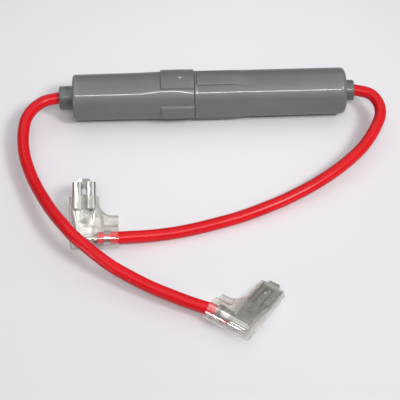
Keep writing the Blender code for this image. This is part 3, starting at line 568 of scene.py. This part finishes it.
def turned_shell(name, outline, zone, finish):
    """A closed outline turned about the holder's axis. An outline point is (x, radius, lift),
    and lift is None or a function of the elevation that gives what is added to the radius."""
    bm = bmesh.new()
    rings = []
    for angle in turns_round(*zone[:2]):
        rings.append([
            bm.verts.new(on_holder(x, radius + (lift(angle) if lift else 0.0), angle))
            for x, radius, lift in outline
        ])
    for ring, following in zip(rings, rings[1:] + rings[:1]):
        corners = (ring, ring[1:] + ring[:1], following[1:] + following[:1], following)
        for face in zip(*corners):
            bm.faces.new(face)
    return new_piece(name, bm, finish, SHELL_EDGES)


def in_zone(angle, start, sweep, edge, fall=None):
    """1 inside a zone or its twin and 0 outside, but for its edges, shoulder and fall."""
    best = 0.0
    soft, drop, shoulder = edge
    for turn in (0.0, 180.0):
        along = turn_between(angle, start + sweep / 2 + turn)
        inside = 1.0 - smooth_step(abs(along), sweep / 2 - soft, sweep / 2 + soft)
        to_edge = (sweep / 2 - soft - abs(along)) / shoulder
        inside *= 1.0 - drop * min(max(1.0 - to_edge, 0.0), 1.0)
        if fall and fall[0] == turn:
            inside *= 1.0 - smooth_step(along + sweep / 2, fall[1], fall[2])
        best = max(best, inside)
    return best


def raised(height, zone, swell=0.0):
    """What a raised zone adds to the radius, with a soft swell round its edges."""
    start, sweep = zone[:2]
    wide_start = start - SWELL_SWEEP + SWELL_OVERLAP
    wide_sweep = sweep + 2 * SWELL_SWEEP - 2 * SWELL_OVERLAP
    wide = (wide_start, wide_sweep, (SWELL_SWEEP, 0.0, 1.0))
    return lambda angle: height * in_zone(angle, *zone) + swell * in_zone(angle, *wide)


def level_run(radius, start, end, step=STATION_STEP):
    """Outline points at one radius, between start and end."""
    return [(x, radius, None) for x in stations(start, end, [], step)]


def rounded_corner(x, radius, size, start, end, steps=CORNER_STEPS, lift=None):
    """Outline points of a rounded corner, about the centre of its rounding."""
    return [(px, pr, lift) for px, pr in arc((x, radius), size, start, end, steps)]


def holder_left(finish):
    end = -LEFT_LENGTH
    far = BODY_RADIUS - LEFT_DRAFT
    tip = end - LEFT_NIPPLE_LENGTH
    nose = LEFT_NIPPLE_RADIUS
    outline = [(tip, BORE_RADIUS + EDGE_ROUND, None)]
    outline += rounded_corner(tip + NIPPLE_ROUND, nose - NIPPLE_ROUND, NIPPLE_ROUND, 180, 90)
    outline += level_run(nose, tip + NIPPLE_ROUND, end)
    outline += [
        (end - EDGE_ROUND, nose, None),
        (end - CORNER_EASE, nose + CORNER_EASE, None),
        (end, nose + EDGE_ROUND, None),
    ]
    outline += rounded_corner(
        end + LEFT_END_ROUND, far - LEFT_END_ROUND, LEFT_END_ROUND, 180, 90, LEFT_END_STEPS,
    )
    for x in stations(end + LEFT_END_ROUND, -EDGE_ROUND, [-PAD_LENGTH]):
        radius = far + LEFT_DRAFT * (x - end) / LEFT_LENGTH
        height = PAD_RISE * smooth_step(x, -PAD_LENGTH - STEP_WIDTH, -PAD_LENGTH + STEP_WIDTH)
        swell = SWELL_RISE * smooth_step(x, *SWELL_MARKS[:2])
        swell *= 1.0 - smooth_step(x, *SWELL_MARKS[2:])
        outline.append((x, radius, raised(height, PAD_ZONE, swell)))
    outline += rounded_corner(
        -EDGE_ROUND, BODY_RADIUS - EDGE_ROUND, EDGE_ROUND, 90, 0, lift=raised(PAD_RISE, PAD_ZONE),
    )
    outline += [(0.0, SPIGOT_RADIUS + EDGE_ROUND, None), (EDGE_ROUND, SPIGOT_RADIUS, None)]
    outline += level_run(SPIGOT_RADIUS, EDGE_ROUND, SPIGOT_LENGTH)
    outline += [
        (SPIGOT_LENGTH, SPIGOT_RADIUS - SPIGOT_WALL / 3, None),
        (SPIGOT_LENGTH, CAVITY_RADIUS, None),
    ]
    outline += level_run(CAVITY_RADIUS, SPIGOT_LENGTH, end + END_WALL)
    outline += [(end + END_WALL, CAVITY_RADIUS, None), (end + END_WALL, BORE_RADIUS, None)]
    return turned_shell("holder_left_skin", outline, PAD_ZONE, finish)


def holder_right(finish):
    end = RIGHT_LENGTH
    far = BODY_RADIUS - RIGHT_DRAFT
    tip = end + RIGHT_NIPPLE_LENGTH
    nose = RIGHT_NIPPLE_RADIUS
    depth = SPIGOT_LENGTH + SPIGOT_SPARE
    rim = BODY_RADIUS + RIM_RISE
    front = JOINT_GAP + EDGE_ROUND
    first = JOINT_GAP + 2 * EDGE_ROUND
    outline = [
        (JOINT_GAP, MOUTH_RADIUS + EDGE_ROUND, None),
        (JOINT_GAP, rim - 2 * EDGE_ROUND, None),
    ]
    outline += rounded_corner(front, rim - EDGE_ROUND, EDGE_ROUND, 180, 90)
    ramp_start = BULGE_LENGTH - BULGE_RAMP - BULGE_RAMP / 2
    for x in stations(first, end - RIGHT_END_ROUND, [first + STEP_WIDTH, RIM_LENGTH]):
        radius = BODY_RADIUS - RIGHT_DRAFT * x / RIGHT_LENGTH
        radius += RIM_RISE * (1.0 - smooth_step(x, first, RIM_LENGTH))
        ramp_down = 1.0 - smooth_step(x, ramp_start, BULGE_LENGTH)
        height = PAD_RISE * smooth_step(x, first, first + 2 * STEP_WIDTH) * ramp_down
        outline.append((x, radius, raised(height, BULGE_ZONE)))
    outline += rounded_corner(
        end - RIGHT_END_ROUND, far - RIGHT_END_ROUND, RIGHT_END_ROUND, 90, 0, RIGHT_END_STEPS,
    )
    outline += [
        (end, nose + EDGE_ROUND, None),
        (end + CORNER_EASE, nose + CORNER_EASE, None),
        (end + EDGE_ROUND, nose, None),
    ]
    outline += level_run(nose, end + EDGE_ROUND, tip - NIPPLE_ROUND, NIPPLE_STEP)
    outline += rounded_corner(tip - NIPPLE_ROUND, nose - NIPPLE_ROUND, NIPPLE_ROUND, 90, 0)
    outline += [(tip, BORE_RADIUS + EDGE_ROUND, None), (tip - EDGE_ROUND, BORE_RADIUS, None)]
    outline += [(end - END_WALL, BORE_RADIUS, None), (end - END_WALL, CAVITY_RADIUS, None)]
    outline += level_run(CAVITY_RADIUS, end - END_WALL, depth)
    outline += [(depth, CAVITY_RADIUS, None), (depth, MOUTH_RADIUS, None)]
    outline += level_run(MOUTH_RADIUS, depth, front)
    outline += [(front, MOUTH_RADIUS, None)]
    return turned_shell("holder_right_skin", outline, BULGE_ZONE, finish)


def gate_mark(finish):
    """The small raised spot where the left half was filled in its mould."""
    bm = bmesh.new()
    bmesh.ops.create_uvsphere(bm, u_segments=32, v_segments=16, radius=1.0)
    bmesh.ops.scale(bm, vec=GATE_MARK_SIZE, verts=bm.verts[:])
    middle = BODY_RADIUS + PAD_RISE - GATE_MARK_SIZE[2] + GATE_MARK_HEIGHT
    place = on_holder(-GATE_MARK_BACK, middle, GATE_MARK_TURN)
    bmesh.ops.translate(bm, vec=place, verts=bm.verts[:])
    return new_piece("gate_mark", bm, finish)


# Leads
def through(points, step):
    """Evenly spaced points along the smooth curve that passes through the given points."""
    fine = []
    ends = [2 * points[0] - points[1], *points, 2 * points[-1] - points[-2]]
    for before, a, b, after in zip(ends, ends[1:], ends[2:], ends[3:]):
        for i in range(ROUTE_STEPS):
            t = i / ROUTE_STEPS
            fine.append(0.5 * (
                2 * a + (b - before) * t + (2 * before - 5 * a + 4 * b - after) * t * t
                + (3 * a - before - 3 * b + after) * t ** 3
            ))
    fine.append(points[-1])
    lengths = [(b - a).length for a, b in zip(fine, fine[1:])]
    count = max(1, round(sum(lengths) / step))
    spacing = sum(lengths) / count
    made, walked = [fine[0]], 0.0
    for a, b, length in zip(fine, fine[1:], lengths):
        while len(made) < count and walked + length >= spacing * len(made):
            made.append(a.lerp(b, (spacing * len(made) - walked) / length))
        walked += length
    return made + [fine[-1]]


def lead(name, inner, mouth, route, entry, end, finish):
    """A lead from its inner end out of the nipple's mouth, along its route, and into its boot."""
    out = (mouth - inner).normalized()
    free = through([mouth + EXIT_STRAIGHT * out, *map(Vector, route), entry], LEAD_STEP)
    points = [inner, *free, end]
    curve = bpy.data.curves.new(name, "CURVE")
    curve.dimensions = "3D"
    spline = curve.splines.new("POLY")
    spline.points.add(len(points) - 1)
    for point, at in zip(spline.points, points):
        point.co = (*at, 1.0)
    spline.use_smooth = True
    curve.bevel_depth = LEAD_RADIUS
    curve.bevel_resolution = 7
    curve.use_fill_caps = True
    curve.materials.append(finish)
    made = bpy.data.objects.new(name, curve)
    bpy.context.scene.collection.objects.link(made)
    return made


# Receptacles and boots, with X along the wire, Y out of the mouth and Z towards the rolls
def place_of(spot, heading, tilt, flipped):
    """Where a receptacle and its boot lie, over on their rolls where they are flipped."""
    angle = math.radians(heading)
    x = Vector((math.cos(angle), math.sin(angle), 0.0))
    side = -1.0 if flipped else 1.0
    level = side * Vector((-math.sin(angle), math.cos(angle), 0.0))
    lift = math.radians(tilt)
    y = math.cos(lift) * level + math.sin(lift) * Vector((0.0, 0.0, 1.0))
    z = x.cross(y)
    turn = Matrix((x, y, z)).transposed().to_4x4()
    return Matrix.Translation(spot) @ turn


def receptacle_section():
    """The base and its two rolls, cut across."""
    inner = EDGE_BEND - SHEET
    edge = RECEPTACLE_HALF - EDGE_BEND
    bend = (0.0, 0.0)
    bend_z = BASE_Z + EDGE_BEND
    tip_x = edge - TIP_INWARD
    top = BASE_Z + 2 * EDGE_BEND
    tip_z = BASE_Z + SHEET + TAB_THICKNESS
    curl = (tip_x, top - TIP_BEND)
    outer = [(edge + x, bend_z + z) for x, z in arc(bend, EDGE_BEND, -90, 90, BEND_STEPS)]
    outer += arc(curl, TIP_BEND, 90, 180, TIP_STEPS)
    outer.append((tip_x - TIP_BEND, tip_z))
    back = [(tip_x - TIP_BEND + SHEET, tip_z)]
    back += arc(curl, TIP_BEND - SHEET, 180, 90, TIP_STEPS)
    back += [(edge + x, bend_z + z) for x, z in arc(bend, inner, 90, -90, BEND_STEPS)]
    split = len(outer)
    left = [(-x, z) for x, z in outer + back]
    return outer + back + left[split:][::-1] + left[:split][::-1]


def receptacle(name, finish):
    """A flag receptacle, rolled and crimped from one sheet."""
    body = prism(name, receptacle_section(), -ROLL_END, -ROLL_START, finish)
    body.data.transform(Matrix.Rotation(math.radians(90), 4, "X"))
    half_neck = NECK_WIDTH / 2
    half_body = RECEPTACLE_HALF - EDGE_BEND
    right = [
        (half_neck, -WIRE_CRIMP_OUTER / 2),
        (half_neck, ROLL_START - NECK_TAPER),
        (half_body, ROLL_START + NECK_SHOULDER),
        (half_body, ROLL_END),
        (GUIDE_ROOT_WIDTH / 2, ROLL_END),
        (GUIDE_TIP_WIDTH / 2, ROLL_END + GUIDE_LENGTH),
    ]
    base = right + [(-x, y) for x, y in reversed(right)]
    plate = prism("plate", base, BASE_Z, BASE_Z + SHEET, finish)
    nose_y = LANCE_SHOULDER + LANCE_NOSE_WIDTH / 4
    dimple_at = (0.0, nose_y, BASE_Z + SHEET + (DIMPLE_DEPTH - SHEET / 2) / 2)
    dimple_height = SHEET / 2 + DIMPLE_DEPTH
    dimple = cone("dimple", dimple_at, DIMPLE_RADIUS, DIMPLE_RADIUS / 2, dimple_height, finish)
    for solid in (plate, dimple, *neck_flanges(finish), *crimp_barrels(finish)):
        boolean(body, solid, "UNION")
    dent = ball("dent", (0.0, nose_y, BASE_Z + DIMPLE_DEPTH - DENT_RADIUS), DENT_RADIUS, finish)
    for cut in (dent, *lance_cuts(finish)):
        boolean(body, cut, "DIFFERENCE")
    soften(body.data, SHEET_EDGES)
    return body


def neck_flanges(finish):
    """The folded edges that taper from the rolls down to the flat neck."""
    made = []
    neck = NECK_WIDTH / 2
    foot = BASE_Z + SHEET / 4
    rows = (
        (ROLL_START + SHEET, RECEPTACLE_HALF, RECEPTACLE_HALF - SHEET, EDGE_BEND),
        (ROLL_START - NECK_TAPER, neck + SHEET, neck, NECK_RISE),
        (ROLL_START - NECK_FLANGE_END, neck, neck - SHEET, NECK_FLANGE_END_RISE),
    )
    for way in (-1, 1):
        bm = bmesh.new()
        loops = []
        for y, far, near, rise in rows:
            top = BASE_Z + rise
            corners = ((near - SHEET, foot), (near, foot), (far, top), (near, top))
            loops.append([bm.verts.new((way * x, y, z)) for x, z in corners])
        skin(bm, loops)
        made.append(new_piece("neck_flange", bm, finish))
    return made


def crimp_barrels(finish):
    """The barrels round the conductor and the insulation, and the open channel between them."""
    wire = WIRE_CRIMP_INNER
    wire_end = WIRE_CRIMP_START + WIRE_CRIMP_LENGTH
    insulation = INSULATION_CRIMP_INNER
    insulation_end = INSULATION_CRIMP_START + INSULATION_CRIMP_LENGTH
    channel_end = INSULATION_CRIMP_START + SHEET
    widened = INSULATION_START - FIT
    barrels = (
        (WIRE_CRIMP_START, wire, wire_end, wire, CRIMP_SEAM),
        (INSULATION_CRIMP_START, insulation, insulation_end, insulation, CRIMP_SEAM),
        (wire_end - SHEET, wire, widened, insulation, CHANNEL_OPENING),
        (widened - SHEET / 2, insulation, channel_end, insulation, CHANNEL_OPENING),
    )
    made = []
    for start, first, end, last, gap in barrels:
        bm = bmesh.new()
        corners = ((start, first), (start, first + SHEET), (end, last + SHEET), (end, last))
        angle = math.radians(90.0 + gap)
        across, up = math.cos(angle), math.sin(angle)
        face = bm.faces.new([bm.verts.new((x, r * across, r * up)) for x, r in corners])
        sweep = 360.0 - 2 * gap
        bmesh.ops.spin(
            bm, geom=[face], cent=(0.0, 0.0, 0.0), axis=(1.0, 0.0, 0.0),
            angle=math.radians(sweep), steps=round(sweep / CRIMP_FACET),
        )
        made.append(new_piece("crimp", bm, finish))
    return made


def lance_cuts(finish):
    """The slits beside the spring lance, and the window that runs round its nose."""
    half = LANCE_WIDTH / 2
    wide = half + LANCE_SLIT
    nose = LANCE_NOSE_WIDTH / 2
    nose_arc = LANCE_SHOULDER + LANCE_NOSE_LENGTH - nose
    slit_end = LANCE_SHOULDER + LANCE_SLIT / 2
    window_end = LANCE_SHOULDER + WINDOW_LENGTH
    low, high = BASE_Z - FIT, BASE_Z + SHEET + FIT
    made = []
    for way in (-1, 1):
        side = [(half, LANCE_START), (wide, LANCE_START), (wide, slit_end), (half, slit_end)]
        made.append(prism("lance_side", [(way * x, y) for x, y in side], low, high, finish))
    window = [
        (-wide, LANCE_SHOULDER),
        (-nose, LANCE_SHOULDER),
        *arc((0.0, nose_arc), nose, 180, 0, NOSE_STEPS),
        (nose, LANCE_SHOULDER),
        (wide, LANCE_SHOULDER),
        (wide, window_end),
        (-wide, window_end),
    ]
    made.append(prism("lance_window", window, low, high, finish))
    return made


def boot_half_at(x, y):
    """Half the boot's thickness: full round the wire, thinner at its web and towards its mouth."""
    towards_mouth = smooth_step(y, 0.0, BOOT_TAPER_END)
    half = BOOT_HALF + (BOOT_MOUTH_THICKNESS / 2 - BOOT_HALF) * towards_mouth
    web = smooth_step(y, BOOT_WEB_START, BOOT_WEB_START + BOOT_WEB_RAMP)
    web *= smooth_step(x, BOOT_ARM_HALF, BOOT_ARM_HALF + BOOT_WEB_RAMP)
    return half + (BOOT_WEB_THICKNESS / 2 - half) * web


def pouch(name, inset, reach, mouth, finish):
    """The boot's L-shaped outer form, moved in by inset, its two open ends pushed out by reach."""
    half = BOOT_HALF - inset
    side_round = BOOT_SIDE_ROUND - inset
    left = -BOOT_ARM_HALF
    bottom = -BOOT_HALF
    end = BOOT_WIRE_END_X + reach
    curve_centre = (BOOT_ARM_HALF + BOOT_INNER_CURVE, BOOT_WIRE_ARM_TOP + BOOT_INNER_CURVE)
    bm = bmesh.new()
    loops = []
    for i in range(BOOT_LEVELS):
        level = math.radians(-90 + 180 * (i + 0.5) / BOOT_LEVELS)
        z = half * math.sin(level)
        away = inset + side_round * (1.0 - math.cos(level))
        corner = max(BOOT_CORNER - away, BOOT_LEAST_CORNER)
        corner_centre = (left + away + corner, bottom + away + corner)
        outline = [(left + away, mouth + reach)]
        outline += arc(corner_centre, corner, 180, 270, BOOT_CORNER_STEPS)
        outline += [(end, bottom + away), (end, BOOT_WIRE_ARM_TOP - away)]
        outline += arc(curve_centre, BOOT_INNER_CURVE + away, 270, 180, BOOT_CURVE_STEPS)
        outline += [(BOOT_ARM_HALF - away, mouth + reach)]
        loops.append([bm.verts.new((x, y, z)) for x, y in outline])
    skin(bm, loops)
    cuts = [
        ((0.0, BOOT_TAPER_END * i / BOOT_ROWS, 0.0), (0.0, 1.0, 0.0))
        for i in range(BOOT_ROWS + 1)
    ]
    cuts += [
        ((BOOT_ARM_HALF + BOOT_WEB_RAMP * i / BOOT_WEB_ROWS, 0.0, 0.0), (1.0, 0.0, 0.0))
        for i in range(BOOT_WEB_ROWS + 1)
    ]
    for at, across in cuts:
        everything = bm.verts[:] + bm.edges[:] + bm.faces[:]
        bmesh.ops.bisect_plane(bm, geom=everything, dist=TINY, plane_co=at, plane_no=across)
    for vert in bm.verts:
        shift = BOOT_MOUTH_SHIFT * smooth_step(vert.co.y, 0.0, BOOT_TAPER_END)
        vert.co.z = vert.co.z * (boot_half_at(vert.co.x, vert.co.y) - inset) / half + shift
    bmesh.ops.triangulate(bm, faces=bm.faces[:])
    return new_piece(name, bm, finish)


def boot(name, mouth, finish):
    """A thin-walled clear boot, open at its mouth and where the wire comes in."""
    shell = pouch(name, 0.0, 0.0, mouth, finish)
    boolean(shell, pouch("boot_hollow", BOOT_WALL, FIT, mouth, finish), "DIFFERENCE")
    soften(shell.data, SHELL_EDGES)
    return shell


# Camera, light and table
def aimed(name, data, at, target):
    """A camera or a lamp at one place that looks at another."""
    made = bpy.data.objects.new(name, data)
    bpy.context.scene.collection.objects.link(made)
    made.location = at
    made.rotation_mode = "QUATERNION"
    made.rotation_quaternion = (Vector(target) - Vector(at)).to_track_quat("-Z", "Y")
    return made


def camera():
    data = bpy.data.cameras.new("camera")
    data.lens = CAMERA_LENS
    data.sensor_width = SENSOR_WIDTH
    bpy.context.scene.camera = aimed("camera", data, CAMERA_AT, CAMERA_LOOKS_AT)


def lights():
    for name, (at, target, size, turn, power) in LIGHTS.items():
        data = bpy.data.lights.new(name, "AREA")
        data.energy = power
        data.shape = "RECTANGLE"
        data.size, data.size_y = size
        made = aimed(name, data, at, target)
        made.rotation_quaternion @= Quaternion((0.0, 0.0, 1.0), math.radians(turn))


def sky():
    """A pale dome, dimmer to the left. Mirrors see it pale overhead with a band across, dark near
    the horizon, and with one small bright patch low on the left."""
    world = bpy.data.worlds.new("studio")
    bpy.context.scene.world = world
    world.use_nodes = True
    tree = world.node_tree
    direction = axes(tree, "Generated")
    across = scaled(tree, direction["X"], -1.0, 1.0)
    along = scaled(tree, direction["Y"], -1.0, 1.0)
    up = direction["Z"]
    walls = blended(tree, "MULTIPLY", stops(tree, across, CEILING), stops(tree, up, WALLS))
    glare = blended(
        tree, "MULTIPLY", stops(tree, across, GLARE_ACROSS), stops(tree, along, GLARE_ALONG),
    )
    glare = blended(tree, "MULTIPLY", glare, stops(tree, up, GLARE_UP))
    mirrored = blended(tree, "ADD", walls, glare)
    dome = blended(tree, "MULTIPLY", stops(tree, across, SIDES), stops(tree, up, DOME))
    light = tree.nodes.new("ShaderNodeLightPath")
    colour = blended(tree, "MIX", dome, mirrored, light.outputs["Is Glossy Ray"])
    tree.links.new(colour, tree.nodes["Background"].inputs["Color"])


def floor():
    """A pale table with a painted pool of light behind the part, and painted shade for mirrors."""
    made, tree, shader = new_material("pale_table")
    colour = spread(tree, noise(tree, scale=6.0, detail=2.0), *TABLE_COLOURS)
    # Painted pool of light: the table is palest round TABLE_CENTRE and darker further out
    near = tree.nodes.new("ShaderNodeTexGradient")
    near.gradient_type = "SPHERICAL"
    location = [-c / TABLE_REACH for c in TABLE_CENTRE]
    tree.links.new(mapped(tree, location, [1.0 / TABLE_REACH] * 3), near.inputs["Vector"])
    seen = blended(tree, "MULTIPLY", colour, stops(tree, near.outputs["Fac"], TABLE_PAINTED_LIGHT))
    # Painted shade in reflections: mirrors see the table at TABLE_MIRRORED, darker than the eye
    # does
    light = tree.nodes.new("ShaderNodeLightPath")
    mirror = tree.nodes.new("ShaderNodeMath")
    mirror.operation = "SUBTRACT"
    mirror.use_clamp = True
    tree.links.new(light.outputs["Is Glossy Ray"], mirror.inputs[0])
    tree.links.new(light.outputs["Is Transmission Ray"], mirror.inputs[1])
    mirrored = tree.nodes.new("ShaderNodeMixRGB")
    mirrored.inputs["Color2"].default_value = (TABLE_MIRRORED, TABLE_MIRRORED, TABLE_MIRRORED, 1.0)
    tree.links.new(mirror.outputs["Value"], mirrored.inputs["Fac"])
    tree.links.new(seen, mirrored.inputs["Color1"])
    tree.links.new(mirrored.outputs["Color"], shader.inputs["Base Color"])
    constants(shader, {"Roughness": 0.6})
    bm = bmesh.new()
    bmesh.ops.create_grid(bm, x_segments=2, y_segments=2, size=TABLE_HALF)
    plane = new_piece("table_top", bm, made)


def main():
    bpy.context.scene.view_settings.view_transform = "Standard"
    camera()
    red = red_silicone()
    grey = holder_plastic("grey_nylon", NYLON_COLOURS)
    # Painted highlight: the gate mark's nylon is paler than the holder's
    pale = holder_plastic("grey_nylon_gate_highlight", GATE_HIGHLIGHT_COLOURS)
    tin = metal(
        "tin_plate", TIN_COLOURS, roughness=(0.07, 0.14), scale=600.0, waves=0.00035, detail=1.0,
        shift=TIN_SHIFT,
    )
    copper = metal("tinned_copper", COPPER_COLOURS, roughness=(0.3, 0.45))
    clear = clear_vinyl()
    brass = metal("nickel_brass", BRASS_COLOURS, roughness=(0.25, 0.4))
    steel = metal("spring_steel", STEEL_COLOURS, roughness=(0.25, 0.4))
    inner = {
        "contact_cup_left": brass, "contact_cup_right": brass, "contact_spring": steel,
        "fuse_glass_tube": glass(), "fuse_cap_left": brass, "fuse_cap_right": brass,
        "fuse_element_spring": steel, "fuse_element_wire": steel,
        "left_wire_end_inner": copper, "right_wire_end_inner": copper,
        "left_wire_end_outer": copper, "right_wire_end_outer": copper,
    }
    for node, finish in inner.items():
        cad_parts[node].data.materials[0] = finish
    left_place = place_of(LEFT_PLACE, LEFT_HEADING, LEFT_TILT, True)
    right_place = place_of(RIGHT_PLACE, RIGHT_HEADING, RIGHT_TILT, False)
    ends = (
        ("left", left_place, LEFT_BOOT_MOUTH, LEFT_INNER_X, LEFT_MOUTH_X, LEFT_ROUTE,
         LEFT_LEAD_LENGTH),
        ("right", right_place, RIGHT_BOOT_MOUTH, RIGHT_INNER_X, RIGHT_MOUTH_X, RIGHT_ROUTE,
         RIGHT_LEAD_LENGTH),
    )
    for side, place, boot_mouth, inner_x, mouth_x, route, length in ends:
        wire = lead(
            f"{side}_lead_wire", Vector((inner_x, 0.0, AXIS_Z)), Vector((mouth_x, 0.0, AXIS_Z)),
            route, place @ Vector((BOOT_WIRE_END_X, 0.0, 0.0)),
            place @ Vector((INSULATION_START, 0.0, 0.0)), red,
        )
        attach(wire, "root")
        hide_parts(f"{side}_lead")
        flag = receptacle(f"{side}_flag", tin)
        flag.data.transform(place)
        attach(flag, "root")
        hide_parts(f"{side}_receptacle")
        cover = boot(f"{side}_cover", boot_mouth, clear)
        cover.data.transform(place)
        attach(cover, "root")
        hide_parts(f"{side}_boot")
    halves = ((holder_left(grey), "holder_half_left"), (holder_right(grey), "holder_half_right"))
    for made, node in halves:
        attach(made, "root")
        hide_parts(node)
    mark = gate_mark(pale)
    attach(mark, "root")
    floor()
    lights()
    sky()


main()
